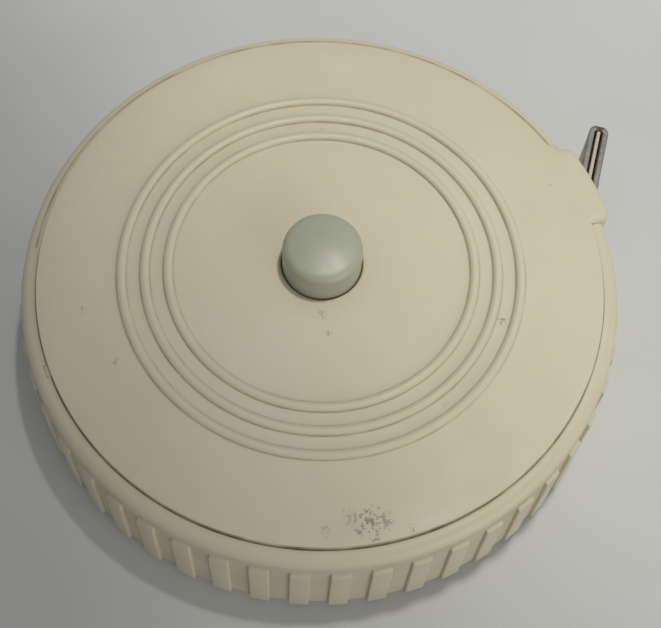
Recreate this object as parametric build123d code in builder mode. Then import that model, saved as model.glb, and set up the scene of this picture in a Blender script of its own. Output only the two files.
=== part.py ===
# Round push-button spring tape measure, 150 cm tape, lying on its back.
# Frame: origin at the centre of the flat underside, +Z up through the button,
# +Y away from the side seen first, +X to the right. Millimetres.
import math
import os

from build123d import *

os.makedirs("parts", exist_ok=True)

# ---- case, overall ----
CASE_HEIGHT = 10.8
WALL_OUTER_R = 26.25
WALL_INNER_R = 24.2
FLOOR_THICKNESS = 1.2
BASE_EDGE_R = 0.4
RIM_TOP_Z = 10.35
RIM_EDGE_R = 1.0
LEDGE_Z = 9.3
REBATE_R = 24.93

# ---- grip ribs round the wall ----
RIB_COUNT = 51
RIB_START_ANGLE = -106.5
RIB_SPAN_ANGLE = 3.55
RIB_OUTER_R = 26.6
RIB_ROOT_R = 25.8
RIB_BOTTOM_Z = 0.3
RIB_TOP_Z = 8.3
RIB_GAP_FROM = 8.0
RIB_GAP_TO = 36.0

# ---- cover ----
COVER_R = 24.85
COVER_EDGE_R = 0.4
COVER_HOLE_R = 3.66
BEAD_RADII = (13.48, 15.5, 17.52)
BEAD_HALF_WIDTH = 0.45
BEAD_HEIGHT = 0.35
SNAP_COUNT = 5
SNAP_START_ANGLE = 62.0
SNAP_LENGTH = 4.0
SNAP_INNER = 23.4
SNAP_OUTER = 24.05
SNAP_BOTTOM_Z = 7.2
BARB_OUTER = 24.25
BARB_LENGTH = 3.0
BARB_HEIGHT = 0.5
GROOVE_R = 24.5
GROOVE_MARGIN = 0.1
KEY_ANGLE = -152.7
KEY_WIDTH = 1.1
KEY_OUTER_R = 25.2
KEY_CLEARANCE = 0.08

# ---- nose: the stretch of case and cover that stands out over the tape mouth ----
NOSE_R = 27.0
NOSE_LEFT_Y = 14.05
NOSE_LEFT_X = 19.6
NOSE_RIGHT = (26.2, 6.55)
NOSE_RIGHT_INNER = (23.6, 5.5)
NOSE_CORNER_R = 1.1
NOSE_GAP = 0.06
NOSE_BOTTOM_Z = 0.3

# ---- tape path: a straight line that leaves the reel at a tangent ----
TAPE_ANGLE = 76.5
TAPE_OFFSET = 21.43
TAPE_THICKNESS = 0.33
TAPE_BOTTOM_Z = 1.6
TAPE_TOP_Z = 8.7
SLOT_WIDTH = 1.0
MOUTH_WIDTH = 2.7
MOUTH_FLOOR_Z = 1.5
MOUTH_STEP = 14.8
GUIDE_FROM = 10.5
GUIDE_TO = 18.0
GUIDE_NEAR = 19.3
GUIDE_FAR = 23.7
GUIDE_OUTER_R = 25.3

# ---- tape end ----
LEAD_START = 1.0
CLIP_START = 15.0
CLIP_TIP = 23.8
CLIP_WIDTH = 1.85
CLIP_SHEET = 0.55
CLIP_LOW_CORNER_R = 2.5
CLIP_TOP_CORNER_R = 0.2
LEAD_TIP_GAP = 0.7
LEAD_EDGE_INSET = 0.1
CLIP_RIVET_AT = 18.2
CLIP_RIVET_R = 0.8
CLIP_RIVET_HEAD_R = 1.3
CLIP_RIVET_HEAD = 0.25

# ---- arbor, pressed into the floor by a square spigot ----
ARBOR_R = 2.9
ARBOR_TOP_Z = 4.9
SPIGOT_SIDE = 3.6
SPIGOT_BOTTOM_Z = 0.5
KEYED_BORE_SIDE = 2.2
KEYED_BORE_BOTTOM_Z = 1.5
SPRING_SEAT_Z = 3.4
SPRING_POCKET_R = 2.1
HOOK_GROOVE_WIDTH = 0.45
HOOK_GROOVE_DEPTH = 0.4
WASHER_INNER_R = 3.0
WASHER_OUTER_R = 4.6
WASHER_TOP_Z = 1.45

# ---- reel ----
REEL_BOTTOM_Z = 1.5
WEB_TOP_Z = 2.2
BUSH_INNER_R = 2.95
BUSH_OUTER_R = 4.2
BUSH_TOP_Z = 2.6
DRUM_R = 16.7
DRUM_WALL = 1.0
DRUM_CAP_BOTTOM_Z = 8.0
DRUM_CAP_TOP_Z = 8.6
DRUM_CAP_HOLE_R = 4.4
DRUM_CAP_R = 16.65
COIL_R = 20.9
BOSS_COUNT = 3
BOSS_START_ANGLE = 30.0
BOSS_AT_R = 14.75
BOSS_R = 1.1
CAP_SCREW_R = 0.45
CAP_SCREW_DEPTH = 3.0
CAP_SCREW_HEAD_R = 0.9
CAP_SCREW_HEAD = 0.3
TAPE_PIN_R = 0.4
TAPE_PIN_AT_R = 16.25
TAPE_PIN_ANGLE = 200.0

# ---- mainspring ----
SPRING_BOTTOM_Z = 2.8
SPRING_TOP_Z = 5.2
SPRING_INNER_R = 3.1
SPRING_OUTER_R = 13.3
SPRING_TURNS = 9
SPRING_STRIP = 0.25
POINTS_PER_TURN = 16
SPRING_PIN_R = 0.5
SPRING_PIN_AT_R = 13.95

# ---- button and brake ----
BUTTON_R = 3.5
BUTTON_SHOULDER_Z = 13.5
BUTTON_SHOULDER_R = 0.8
BUTTON_TOP_Z = 14.2
BUTTON_FLANGE_R = 4.1
BUTTON_FLANGE_BOTTOM_Z = 8.75
BUTTON_FLANGE_TOP_Z = 9.2
BUTTON_STEM_R = 3.0
PLUNGER_R = 1.25
PLUNGER_KEY_SIDE = 2.1
PLUNGER_BOTTOM_Z = 2.9
PLUNGER_KEY_TOP_Z = 4.8
PLUNGER_TOP_Z = 11.5
BRAKE_DISC_R = 8.0
BRAKE_DISC_BOTTOM_Z = 7.0
BRAKE_DISC_TOP_Z = 7.5
BRAKE_RING_INNER_R = 5.2
BRAKE_RING_OUTER_R = 7.8
BRAKE_RING_TOP_Z = 7.95
RETAINER_R = 2.3
RETAINER_BOTTOM_Z = 6.6
COIL_SPRING_R = 1.78
COIL_SPRING_WIRE_R = 0.17
COIL_SPRING_TURNS = 4

# Plane whose X runs along the tape path and whose Y points back to the axis.
tape_dir = (math.cos(math.radians(TAPE_ANGLE)), math.sin(math.radians(TAPE_ANGLE)), 0)
TAPE_PLANE = Plane(origin=(0, 0, 0), x_dir=tape_dir, z_dir=(0, 0, 1))
# Upright plane through the middle of the tape, X along the tape, Y up.
TAPE_FACE = Plane(
    origin=TAPE_PLANE.from_local_coords((0, -TAPE_OFFSET, 0)),
    x_dir=tape_dir,
    z_dir=(math.sin(math.radians(TAPE_ANGLE)), -math.cos(math.radians(TAPE_ANGLE)), 0),
)


def rib_angles():
    """Middle angles of the grip ribs, leaving out the stretch taken by the nose."""
    step = 360 / RIB_COUNT
    angles = []
    for i in range(RIB_COUNT):
        angle = RIB_START_ANGLE + RIB_SPAN_ANGLE / 2 + i * step
        wrapped = (angle + 180) % 360 - 180
        if not RIB_GAP_FROM < wrapped < RIB_GAP_TO:
            angles.append(wrapped)
    return angles


# Plan outline of the nose, shared by the case and the cover.
with BuildSketch() as nose_shape:
    nose_corner = Vector(math.sqrt(NOSE_R**2 - NOSE_LEFT_Y**2), NOSE_LEFT_Y)
    nose_right = Vector(*NOSE_RIGHT).normalized() * NOSE_R
    nose_middle = (nose_corner + nose_right).normalized() * NOSE_R
    with BuildLine():
        Line((NOSE_LEFT_X, NOSE_LEFT_Y), nose_corner)
        ThreePointArc(nose_corner, nose_middle, nose_right)
        Line(nose_right, NOSE_RIGHT_INNER)
        Line(NOSE_RIGHT_INNER, (NOSE_LEFT_X, NOSE_LEFT_Y))
    make_face()
    fillet(nose_shape.vertices().group_by(SortBy.DISTANCE)[-1], NOSE_CORNER_R)

# ================= case body =================
with BuildPart() as case_body:
    with BuildSketch(Plane.XZ) as cup_profile:
        with BuildLine():
            Polyline(
                (0, 0),
                (WALL_OUTER_R, 0),
                (WALL_OUTER_R, RIM_TOP_Z),
                (REBATE_R, RIM_TOP_Z),
                (REBATE_R, LEDGE_Z),
                (WALL_INNER_R, LEDGE_Z),
                (WALL_INNER_R, FLOOR_THICKNESS),
                (0, FLOOR_THICKNESS),
                close=True,
            )
        make_face()
        rim_corner = cup_profile.vertices().sort_by_distance((WALL_OUTER_R, RIM_TOP_Z))[0]
        fillet(rim_corner, RIM_EDGE_R)
        base_corner = cup_profile.vertices().sort_by_distance((WALL_OUTER_R, 0))[0]
        fillet(base_corner, BASE_EDGE_R)
    revolve(axis=Axis.Z)
    # grip ribs
    rib_width = 2 * RIB_OUTER_R * math.sin(math.radians(RIB_SPAN_ANGLE / 2))
    with BuildSketch(Plane.XY.offset(RIB_BOTTOM_Z)):
        for angle in rib_angles():
            rib_mid = (RIB_ROOT_R + RIB_OUTER_R) / 2
            x = rib_mid * math.cos(math.radians(angle))
            y = rib_mid * math.sin(math.radians(angle))
            with Locations(Location((x, y, 0), (0, 0, angle))):
                Rectangle(RIB_OUTER_R - RIB_ROOT_R, rib_width)
    extrude(amount=RIB_TOP_Z - RIB_BOTTOM_Z)
    # nose block outside the wall
    with BuildSketch(Plane.XY.offset(NOSE_BOTTOM_Z)):
        add(nose_shape.sketch)
    extrude(amount=LEDGE_Z - NOSE_BOTTOM_Z)
    # guide block inside the wall, each side of the tape
    with BuildSketch(TAPE_PLANE.offset(FLOOR_THICKNESS)) as guide_block:
        with Locations(((GUIDE_FROM + GUIDE_TO) / 2, -(GUIDE_NEAR + GUIDE_FAR) / 2)):
            Rectangle(GUIDE_TO - GUIDE_FROM, GUIDE_FAR - GUIDE_NEAR)
        Circle(GUIDE_OUTER_R, mode=Mode.INTERSECT)
    extrude(amount=LEDGE_Z - FLOOR_THICKNESS)
    # room for the cover's nose
    with BuildSketch(Plane.XY.offset(LEDGE_Z)):
        add(nose_shape.sketch)
        offset(amount=NOSE_GAP)
    extrude(amount=CASE_HEIGHT - LEDGE_Z, mode=Mode.SUBTRACT)
    # narrow slot for the tape, then the wider mouth for the end clip
    with BuildSketch(TAPE_PLANE.offset(MOUTH_FLOOR_Z)):
        with Locations(((GUIDE_FROM + MOUTH_STEP) / 2, -TAPE_OFFSET)):
            Rectangle(MOUTH_STEP - GUIDE_FROM, SLOT_WIDTH)
        mouth_to = MOUTH_STEP + CLIP_TIP - CLIP_START
        with Locations(((MOUTH_STEP + mouth_to) / 2, -TAPE_OFFSET)):
            Rectangle(mouth_to - MOUTH_STEP, MOUTH_WIDTH)
    extrude(amount=LEDGE_Z - MOUTH_FLOOR_Z, mode=Mode.SUBTRACT)
    # groove for the cover's snap barbs
    groove_bottom = SNAP_BOTTOM_Z - GROOVE_MARGIN
    groove_height = BARB_HEIGHT + 2 * GROOVE_MARGIN
    with BuildSketch(Plane.XY.offset(groove_bottom)):
        for i in range(SNAP_COUNT):
            angle = SNAP_START_ANGLE + i * 360 / SNAP_COUNT
            x = SNAP_OUTER * math.cos(math.radians(angle))
            y = SNAP_OUTER * math.sin(math.radians(angle))
            with Locations(Location((x, y, 0), (0, 0, angle))):
                Rectangle(2 * (GROOVE_R - SNAP_OUTER), BARB_LENGTH + 4 * GROOVE_MARGIN)
    extrude(amount=groove_height, mode=Mode.SUBTRACT)
    # key notch in the rim
    with BuildSketch(Plane.XY.offset(LEDGE_Z)):
        notch_outer = KEY_OUTER_R + KEY_CLEARANCE
        notch_mid = (WALL_INNER_R + notch_outer) / 2
        x = notch_mid * math.cos(math.radians(KEY_ANGLE))
        y = notch_mid * math.sin(math.radians(KEY_ANGLE))
        with Locations(Location((x, y, 0), (0, 0, KEY_ANGLE))):
            Rectangle(notch_outer - WALL_INNER_R, KEY_WIDTH + 2 * KEY_CLEARANCE)
    extrude(amount=CASE_HEIGHT - LEDGE_Z, mode=Mode.SUBTRACT)
    # square seat for the arbor
    with BuildSketch(Plane.XY.offset(SPIGOT_BOTTOM_Z)):
        Rectangle(SPIGOT_SIDE, SPIGOT_SIDE)
    extrude(amount=FLOOR_THICKNESS - SPIGOT_BOTTOM_Z, mode=Mode.SUBTRACT)
case_body.part.label = "case_body"
export_step(case_body.part, "parts/case_body.step")

# ================= case cover =================
with BuildPart() as case_cover:
    with BuildSketch(Plane.XY.offset(LEDGE_Z)):
        Circle(COVER_R)
        add(nose_shape.sketch)
    extrude(amount=CASE_HEIGHT - LEDGE_Z)
    top_edges = case_cover.edges().filter_by_position(Axis.Z, CASE_HEIGHT, CASE_HEIGHT)
    fillet(top_edges, COVER_EDGE_R)
    with BuildSketch(Plane.XY.offset(LEDGE_Z)):
        Circle(COVER_HOLE_R)
    extrude(amount=CASE_HEIGHT - LEDGE_Z, mode=Mode.SUBTRACT)
    # three raised beads round the face
    with BuildSketch(Plane.XZ):
        for bead_r in BEAD_RADII:
            with Locations((bead_r, CASE_HEIGHT)):
                Ellipse(BEAD_HALF_WIDTH, BEAD_HEIGHT)
    revolve(axis=Axis.Z)
    # snap fingers with their barbs
    with BuildSketch(Plane.XY.offset(SNAP_BOTTOM_Z)):
        with PolarLocations((SNAP_INNER + SNAP_OUTER) / 2, SNAP_COUNT, SNAP_START_ANGLE):
            Rectangle(SNAP_OUTER - SNAP_INNER, SNAP_LENGTH)
    extrude(amount=LEDGE_Z - SNAP_BOTTOM_Z)
    with BuildSketch(Plane.XY.offset(SNAP_BOTTOM_Z)):
        with PolarLocations((SNAP_INNER + BARB_OUTER) / 2, SNAP_COUNT, SNAP_START_ANGLE):
            Rectangle(BARB_OUTER - SNAP_INNER, BARB_LENGTH)
    extrude(amount=BARB_HEIGHT)
    # key that sets the cover's angle
    with BuildSketch(Plane.XY.offset(LEDGE_Z)):
        key_mid = (SNAP_OUTER + KEY_OUTER_R) / 2
        x = key_mid * math.cos(math.radians(KEY_ANGLE))
        y = key_mid * math.sin(math.radians(KEY_ANGLE))
        with Locations(Location((x, y, 0), (0, 0, KEY_ANGLE))):
            Rectangle(KEY_OUTER_R - SNAP_OUTER, KEY_WIDTH)
    extrude(amount=RIM_TOP_Z - LEDGE_Z)
case_cover.part.label = "case_cover"
export_step(case_cover.part, "parts/case_cover.step")

# ================= arbor =================
with BuildPart() as arbor:
    with BuildSketch(Plane.XY.offset(FLOOR_THICKNESS)):
        Circle(ARBOR_R)
    extrude(amount=ARBOR_TOP_Z - FLOOR_THICKNESS)
    with BuildSketch(Plane.XY.offset(SPIGOT_BOTTOM_Z)):
        Rectangle(SPIGOT_SIDE, SPIGOT_SIDE)
    extrude(amount=FLOOR_THICKNESS - SPIGOT_BOTTOM_Z)
    with BuildSketch(Plane.XY.offset(KEYED_BORE_BOTTOM_Z)):
        Rectangle(KEYED_BORE_SIDE, KEYED_BORE_SIDE)
    extrude(amount=SPRING_SEAT_Z - KEYED_BORE_BOTTOM_Z, mode=Mode.SUBTRACT)
    with BuildSketch(Plane.XY.offset(SPRING_SEAT_Z)):
        Circle(SPRING_POCKET_R)
    extrude(amount=ARBOR_TOP_Z - SPRING_SEAT_Z, mode=Mode.SUBTRACT)
    # groove that takes the inner hook of the mainspring
    with BuildSketch(Plane.XY.offset(SPRING_BOTTOM_Z)):
        with Locations((ARBOR_R, 0)):
            Rectangle(2 * HOOK_GROOVE_DEPTH, HOOK_GROOVE_WIDTH)
    extrude(amount=ARBOR_TOP_Z - SPRING_BOTTOM_Z, mode=Mode.SUBTRACT)
arbor.part.label = "arbor"
export_step(arbor.part, "parts/arbor.step")

# ================= thrust washer under the reel =================
with BuildPart() as thrust_washer:
    with BuildSketch(Plane.XY.offset(FLOOR_THICKNESS)):
        Circle(WASHER_OUTER_R)
        Circle(WASHER_INNER_R, mode=Mode.SUBTRACT)
    extrude(amount=WASHER_TOP_Z - FLOOR_THICKNESS)
thrust_washer.part.label = "thrust_washer"
export_step(thrust_washer.part, "parts/thrust_washer.step")

# ================= reel drum =================
with BuildPart() as reel_drum:
    with BuildSketch(Plane.XY.offset(REEL_BOTTOM_Z)):
        Circle(DRUM_R)
        Circle(BUSH_OUTER_R, mode=Mode.SUBTRACT)
    extrude(amount=WEB_TOP_Z - REEL_BOTTOM_Z)
    with BuildSketch(Plane.XY.offset(WEB_TOP_Z)):
        Circle(DRUM_R)
        Circle(DRUM_R - DRUM_WALL, mode=Mode.SUBTRACT)
        with PolarLocations(BOSS_AT_R, BOSS_COUNT, BOSS_START_ANGLE):
            Circle(BOSS_R)
    extrude(amount=DRUM_CAP_BOTTOM_Z - WEB_TOP_Z)
    # screw holes in the bosses
    with BuildSketch(Plane.XY.offset(DRUM_CAP_BOTTOM_Z - CAP_SCREW_DEPTH)):
        with PolarLocations(BOSS_AT_R, BOSS_COUNT, BOSS_START_ANGLE):
            Circle(CAP_SCREW_R)
    extrude(amount=CAP_SCREW_DEPTH, mode=Mode.SUBTRACT)
    # groove for the pin that holds the inner end of the tape
    with BuildSketch(Plane.XY.offset(TAPE_BOTTOM_Z)):
        with PolarLocations(TAPE_PIN_AT_R, 1, TAPE_PIN_ANGLE):
            Circle(TAPE_PIN_R)
    extrude(amount=DRUM_CAP_BOTTOM_Z - TAPE_BOTTOM_Z, mode=Mode.SUBTRACT)
reel_drum.part.label = "reel_drum"
export_step(reel_drum.part, "parts/reel_drum.step")

# ================= drum cap =================
with BuildPart() as drum_cap:
    with BuildSketch(Plane.XY.offset(DRUM_CAP_BOTTOM_Z)):
        Circle(DRUM_CAP_R)
        Circle(DRUM_CAP_HOLE_R, mode=Mode.SUBTRACT)
        with PolarLocations(BOSS_AT_R, BOSS_COUNT, BOSS_START_ANGLE):
            Circle(CAP_SCREW_R, mode=Mode.SUBTRACT)
    extrude(amount=DRUM_CAP_TOP_Z - DRUM_CAP_BOTTOM_Z)
drum_cap.part.label = "drum_cap"
export_step(drum_cap.part, "parts/drum_cap.step")

# ================= three screws that hold the drum cap =================
with BuildPart() as drum_cap_screws:
    with BuildSketch(Plane.XY.offset(DRUM_CAP_BOTTOM_Z - CAP_SCREW_DEPTH)):
        with PolarLocations(BOSS_AT_R, BOSS_COUNT, BOSS_START_ANGLE):
            Circle(CAP_SCREW_R)
    extrude(amount=DRUM_CAP_TOP_Z - DRUM_CAP_BOTTOM_Z + CAP_SCREW_DEPTH)
    with BuildSketch(Plane.XY.offset(DRUM_CAP_TOP_Z)):
        with PolarLocations(BOSS_AT_R, BOSS_COUNT, BOSS_START_ANGLE):
            Circle(CAP_SCREW_HEAD_R)
    extrude(amount=CAP_SCREW_HEAD)
drum_cap_screws.part.label = "drum_cap_screws"
export_step(drum_cap_screws.part, "parts/drum_cap_screws.step")

# ================= bush pressed in the reel =================
with BuildPart() as reel_bush:
    with BuildSketch(Plane.XY.offset(REEL_BOTTOM_Z)):
        Circle(BUSH_OUTER_R)
        Circle(BUSH_INNER_R, mode=Mode.SUBTRACT)
    extrude(amount=BUSH_TOP_Z - REEL_BOTTOM_Z)
reel_bush.part.label = "reel_bush"
export_step(reel_bush.part, "parts/reel_bush.step")

# ================= wound tape =================
with BuildPart() as tape_coil:
    with BuildSketch(Plane.XY.offset(TAPE_BOTTOM_Z)):
        Circle(COIL_R)
        Circle(DRUM_R, mode=Mode.SUBTRACT)
    extrude(amount=TAPE_TOP_Z - TAPE_BOTTOM_Z)
tape_coil.part.label = "tape_coil"
export_step(tape_coil.part, "parts/tape_coil.step")

# ================= pin that anchors the tape to the drum =================
with BuildPart() as tape_anchor_pin:
    with BuildSketch(Plane.XY.offset(TAPE_BOTTOM_Z)):
        with PolarLocations(TAPE_PIN_AT_R, 1, TAPE_PIN_ANGLE):
            Circle(TAPE_PIN_R)
    extrude(amount=DRUM_CAP_BOTTOM_Z - TAPE_BOTTOM_Z)
tape_anchor_pin.part.label = "tape_anchor_pin"
export_step(tape_anchor_pin.part, "parts/tape_anchor_pin.step")

# ================= mainspring: flat spiral strip from arbor to drum =================
with BuildPart() as mainspring:
    with BuildSketch(Plane.XY.offset(SPRING_BOTTOM_Z)):
        inner_side = []
        outer_side = []
        for i in range(SPRING_TURNS * POINTS_PER_TURN + 1):
            part_way = i / (SPRING_TURNS * POINTS_PER_TURN)
            radius = SPRING_INNER_R + (SPRING_OUTER_R - SPRING_INNER_R) * part_way
            turn = 2 * math.pi * i / POINTS_PER_TURN
            inner_side.append((radius * math.cos(turn), radius * math.sin(turn)))
            far = radius + SPRING_STRIP
            outer_side.append((far * math.cos(turn), far * math.sin(turn)))
        with BuildLine():
            Spline(*inner_side)
            Spline(*outer_side)
            Line(inner_side[0], outer_side[0])
            Line(inner_side[-1], outer_side[-1])
        make_face()
    extrude(amount=SPRING_TOP_Z - SPRING_BOTTOM_Z)
mainspring.part.label = "mainspring"
export_step(mainspring.part, "parts/mainspring.step")

# ================= post the outer end of the mainspring hooks on =================
with BuildPart() as spring_anchor_pin:
    with BuildSketch(Plane.XY.offset(WEB_TOP_Z)):
        with Locations((SPRING_PIN_AT_R + SPRING_PIN_R / 2, 0)):
            Circle(SPRING_PIN_R)
    extrude(amount=SPRING_TOP_Z - WEB_TOP_Z)
spring_anchor_pin.part.label = "spring_anchor_pin"
export_step(spring_anchor_pin.part, "parts/spring_anchor_pin.step")

# ================= free end of the tape =================
with BuildPart() as tape_lead:
    lead_end = CLIP_TIP - LEAD_TIP_GAP
    with BuildSketch(TAPE_PLANE.offset(TAPE_BOTTOM_Z + LEAD_EDGE_INSET)):
        with Locations(((LEAD_START + lead_end) / 2, -TAPE_OFFSET)):
            Rectangle(lead_end - LEAD_START, TAPE_THICKNESS)
    extrude(amount=TAPE_TOP_Z - TAPE_BOTTOM_Z - 2 * LEAD_EDGE_INSET)
    with BuildSketch(TAPE_FACE):
        with Locations((CLIP_RIVET_AT, (TAPE_BOTTOM_Z + TAPE_TOP_Z) / 2)):
            Circle(CLIP_RIVET_R)
    extrude(amount=CLIP_WIDTH, both=True, mode=Mode.SUBTRACT)
tape_lead.part.label = "tape_lead"
export_step(tape_lead.part, "parts/tape_lead.step")

# ================= folded metal clip on the tape end =================
with BuildPart() as end_clip:
    fold_centre = CLIP_TIP - CLIP_WIDTH / 2
    inside_width = CLIP_WIDTH - 2 * CLIP_SHEET
    with BuildSketch(TAPE_PLANE.offset(TAPE_BOTTOM_Z)):
        with Locations(((CLIP_START + fold_centre) / 2, -TAPE_OFFSET)):
            Rectangle(fold_centre - CLIP_START, CLIP_WIDTH)
        with Locations((fold_centre, -TAPE_OFFSET)):
            Circle(CLIP_WIDTH / 2)
        with Locations(((CLIP_START + fold_centre) / 2, -TAPE_OFFSET)):
            Rectangle(fold_centre - CLIP_START, inside_width, mode=Mode.SUBTRACT)
        with Locations((fold_centre, -TAPE_OFFSET)):
            Circle(inside_width / 2, mode=Mode.SUBTRACT)
    extrude(amount=TAPE_TOP_Z - TAPE_BOTTOM_Z)
    # side outline with rounded corners at the tip
    with BuildSketch(TAPE_FACE) as clip_side:
        with BuildLine():
            Polyline(
                (CLIP_START, TAPE_BOTTOM_Z),
                (CLIP_TIP, TAPE_BOTTOM_Z),
                (CLIP_TIP, TAPE_TOP_Z),
                (CLIP_START, TAPE_TOP_Z),
                close=True,
            )
        make_face()
        low_corner = clip_side.vertices().sort_by_distance((CLIP_TIP, TAPE_BOTTOM_Z))[0]
        fillet(low_corner, CLIP_LOW_CORNER_R)
        top_corner = clip_side.vertices().sort_by_distance((CLIP_TIP, TAPE_TOP_Z))[0]
        fillet(top_corner, CLIP_TOP_CORNER_R)
    extrude(amount=CLIP_WIDTH, both=True, mode=Mode.INTERSECT)
    with BuildSketch(TAPE_FACE):
        with Locations((CLIP_RIVET_AT, (TAPE_BOTTOM_Z + TAPE_TOP_Z) / 2)):
            Circle(CLIP_RIVET_R)
    extrude(amount=CLIP_WIDTH, both=True, mode=Mode.SUBTRACT)
end_clip.part.label = "end_clip"
export_step(end_clip.part, "parts/end_clip.step")

# ================= rivet through clip and tape =================
with BuildPart() as clip_rivet:
    with BuildSketch(TAPE_FACE):
        with Locations((CLIP_RIVET_AT, (TAPE_BOTTOM_Z + TAPE_TOP_Z) / 2)):
            Circle(CLIP_RIVET_R)
    extrude(amount=CLIP_WIDTH / 2, both=True)
    with BuildSketch(TAPE_FACE.offset(CLIP_WIDTH / 2), TAPE_FACE.offset(-CLIP_WIDTH / 2 - CLIP_RIVET_HEAD)):
        with Locations((CLIP_RIVET_AT, (TAPE_BOTTOM_Z + TAPE_TOP_Z) / 2)):
            Circle(CLIP_RIVET_HEAD_R)
    extrude(amount=CLIP_RIVET_HEAD)
clip_rivet.part.label = "clip_rivet"
export_step(clip_rivet.part, "parts/clip_rivet.step")

# ================= push button =================
with BuildPart() as push_button:
    crown = BUTTON_TOP_Z - BUTTON_SHOULDER_Z
    dome_r = (BUTTON_R**2 + crown**2) / (2 * crown)
    with BuildSketch(Plane.XZ) as button_profile:
        with BuildLine():
            Polyline(
                (0, BUTTON_TOP_Z),
                (0, BRAKE_DISC_TOP_Z),
                (BUTTON_STEM_R, BRAKE_DISC_TOP_Z),
                (BUTTON_STEM_R, BUTTON_FLANGE_BOTTOM_Z),
                (BUTTON_FLANGE_R, BUTTON_FLANGE_BOTTOM_Z),
                (BUTTON_FLANGE_R, BUTTON_FLANGE_TOP_Z),
                (BUTTON_R, BUTTON_FLANGE_TOP_Z),
                (BUTTON_R, BUTTON_SHOULDER_Z),
            )
            # shallow crown, a sphere centred on the axis
            RadiusArc((BUTTON_R, BUTTON_SHOULDER_Z), (0, BUTTON_TOP_Z), -dome_r)
        make_face()
        shoulder = button_profile.vertices().sort_by_distance((BUTTON_R, BUTTON_SHOULDER_Z))[0]
        fillet(shoulder, BUTTON_SHOULDER_R)
    revolve(axis=Axis.Z)
    with BuildSketch(Plane.XY.offset(BRAKE_DISC_TOP_Z)):
        Circle(PLUNGER_R)
    extrude(amount=PLUNGER_TOP_Z - BRAKE_DISC_TOP_Z, mode=Mode.SUBTRACT)
push_button.part.label = "push_button"
export_step(push_button.part, "parts/push_button.step")

# ================= plunger with a square foot that slides in the arbor =================
with BuildPart() as plunger:
    with BuildSketch(Plane.XY.offset(PLUNGER_BOTTOM_Z)):
        Rectangle(PLUNGER_KEY_SIDE, PLUNGER_KEY_SIDE)
    extrude(amount=PLUNGER_KEY_TOP_Z - PLUNGER_BOTTOM_Z)
    with BuildSketch(Plane.XY.offset(PLUNGER_KEY_TOP_Z)):
        Circle(PLUNGER_R)
    extrude(amount=PLUNGER_TOP_Z - PLUNGER_KEY_TOP_Z)
plunger.part.label = "plunger"
export_step(plunger.part, "parts/plunger.step")

# ================= brake disc =================
with BuildPart() as brake_disc:
    with BuildSketch(Plane.XY.offset(BRAKE_DISC_BOTTOM_Z)):
        Circle(BRAKE_DISC_R)
        Circle(PLUNGER_R, mode=Mode.SUBTRACT)
    extrude(amount=BRAKE_DISC_TOP_Z - BRAKE_DISC_BOTTOM_Z)
brake_disc.part.label = "brake_disc"
export_step(brake_disc.part, "parts/brake_disc.step")

# ================= rubber friction ring on the brake disc =================
with BuildPart() as brake_ring:
    with BuildSketch(Plane.XY.offset(BRAKE_DISC_TOP_Z)):
        Circle(BRAKE_RING_OUTER_R)
        Circle(BRAKE_RING_INNER_R, mode=Mode.SUBTRACT)
    extrude(amount=BRAKE_RING_TOP_Z - BRAKE_DISC_TOP_Z)
brake_ring.part.label = "brake_ring"
export_step(brake_ring.part, "parts/brake_ring.step")

# ================= push-on ring that holds the disc on the plunger =================
with BuildPart() as retaining_ring:
    with BuildSketch(Plane.XY.offset(RETAINER_BOTTOM_Z)):
        Circle(RETAINER_R)
        Circle(PLUNGER_R, mode=Mode.SUBTRACT)
    extrude(amount=BRAKE_DISC_BOTTOM_Z - RETAINER_BOTTOM_Z)
retaining_ring.part.label = "retaining_ring"
export_step(retaining_ring.part, "parts/retaining_ring.step")

# ================= button return spring =================
with BuildPart() as button_spring:
    spring_from = SPRING_SEAT_Z + COIL_SPRING_WIRE_R
    spring_to = RETAINER_BOTTOM_Z - COIL_SPRING_WIRE_R
    spring_pitch = (spring_to - spring_from) / COIL_SPRING_TURNS
    with BuildLine() as wire_path:
        Helix(
            pitch=spring_pitch,
            height=spring_to - spring_from,
            radius=COIL_SPRING_R,
            center=(0, 0, spring_from),
        )
    with BuildSketch(Plane(origin=wire_path.line @ 0, z_dir=wire_path.line % 0)):
        Circle(COIL_SPRING_WIRE_R)
    sweep(path=wire_path.line, is_frenet=True)
button_spring.part.label = "button_spring"
export_step(button_spring.part, "parts/button_spring.step")
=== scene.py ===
import math

import bmesh
import bpy
from mathutils import Matrix, Vector


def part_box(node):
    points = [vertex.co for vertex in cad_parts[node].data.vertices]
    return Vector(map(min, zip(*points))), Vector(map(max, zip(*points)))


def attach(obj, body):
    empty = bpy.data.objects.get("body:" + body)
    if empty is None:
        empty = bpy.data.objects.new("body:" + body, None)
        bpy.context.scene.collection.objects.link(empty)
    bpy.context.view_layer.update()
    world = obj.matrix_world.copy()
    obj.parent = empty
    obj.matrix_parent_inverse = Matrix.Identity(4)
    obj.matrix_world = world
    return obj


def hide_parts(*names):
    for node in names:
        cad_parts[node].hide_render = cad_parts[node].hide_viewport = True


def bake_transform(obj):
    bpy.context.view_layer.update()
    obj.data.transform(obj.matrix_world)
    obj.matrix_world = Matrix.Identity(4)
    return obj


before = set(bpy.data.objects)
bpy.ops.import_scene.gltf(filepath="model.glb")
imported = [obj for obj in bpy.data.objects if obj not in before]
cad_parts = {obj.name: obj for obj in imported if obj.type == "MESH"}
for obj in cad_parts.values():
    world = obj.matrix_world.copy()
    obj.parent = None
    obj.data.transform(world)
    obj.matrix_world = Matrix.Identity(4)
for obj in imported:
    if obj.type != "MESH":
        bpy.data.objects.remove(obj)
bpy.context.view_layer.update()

# ---------------------------------------------------------------- sizes, in metres
MM = 0.001
CASE_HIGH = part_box("case_body")[1]
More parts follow.
